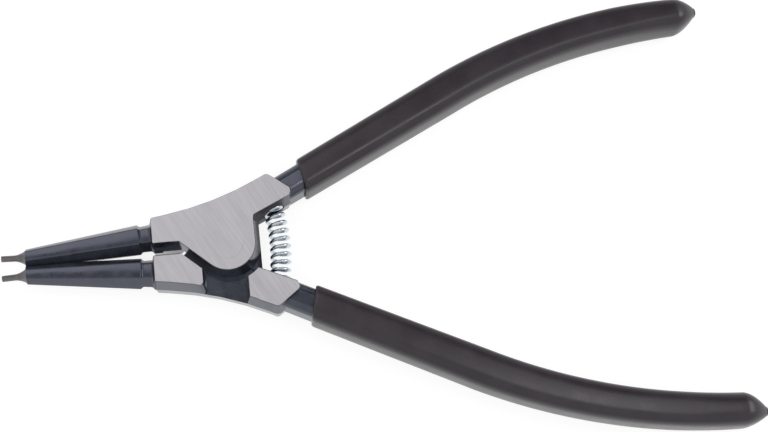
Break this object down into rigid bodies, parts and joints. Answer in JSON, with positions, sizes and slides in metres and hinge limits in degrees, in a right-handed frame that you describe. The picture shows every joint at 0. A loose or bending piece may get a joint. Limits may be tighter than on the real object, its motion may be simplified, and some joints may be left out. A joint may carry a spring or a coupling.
{
  "type": "circlip pliers",
  "caption": "Straight-tip pliers for external retaining rings: lapped forged arms on a flush rivet, pin tips, an arched return spring and dipped grips.",
  "frame": {"origin": "on the pivot axis, in the plane of the rear ground faces that the tool lies on", "axes": "+X from the pivot to the handle ends, +Y from the lower to the upper arm, +Z along the pivot axis to the front ground faces"},
  "size_m": [0.1803, 0.112, 0.0108],
  "materials": {
    "forged_steel": "satin",
    "tip_steel": "satin",
    "rivet_steel": "brushed",
    "spring_zinc": "gloss",
    "grip_vinyl": "satin"
  },
  "bodies": {
    "lower_half": {"lower_arm": "forged_steel", "lower_tip": "tip_steel", "lower_grip": "grip_vinyl", "joint_rivet": "rivet_steel", "return_spring": "spring_zinc"},
    "upper_half": {"upper_arm": "forged_steel", "upper_tip": "tip_steel", "upper_grip": "grip_vinyl"}
  },
  "joints": [
    {"name": "pivot", "type": "hinge", "parent": "lower_half", "child": "upper_half", "pos_m": [0, 0, 0.0054], "axis": [0, 0, -1], "range_deg": [0, 26], "stiffness_Nm_per_rad": 0.8, "springref_deg": -13.75, "deforming": ["return_spring"]}
  ]
}
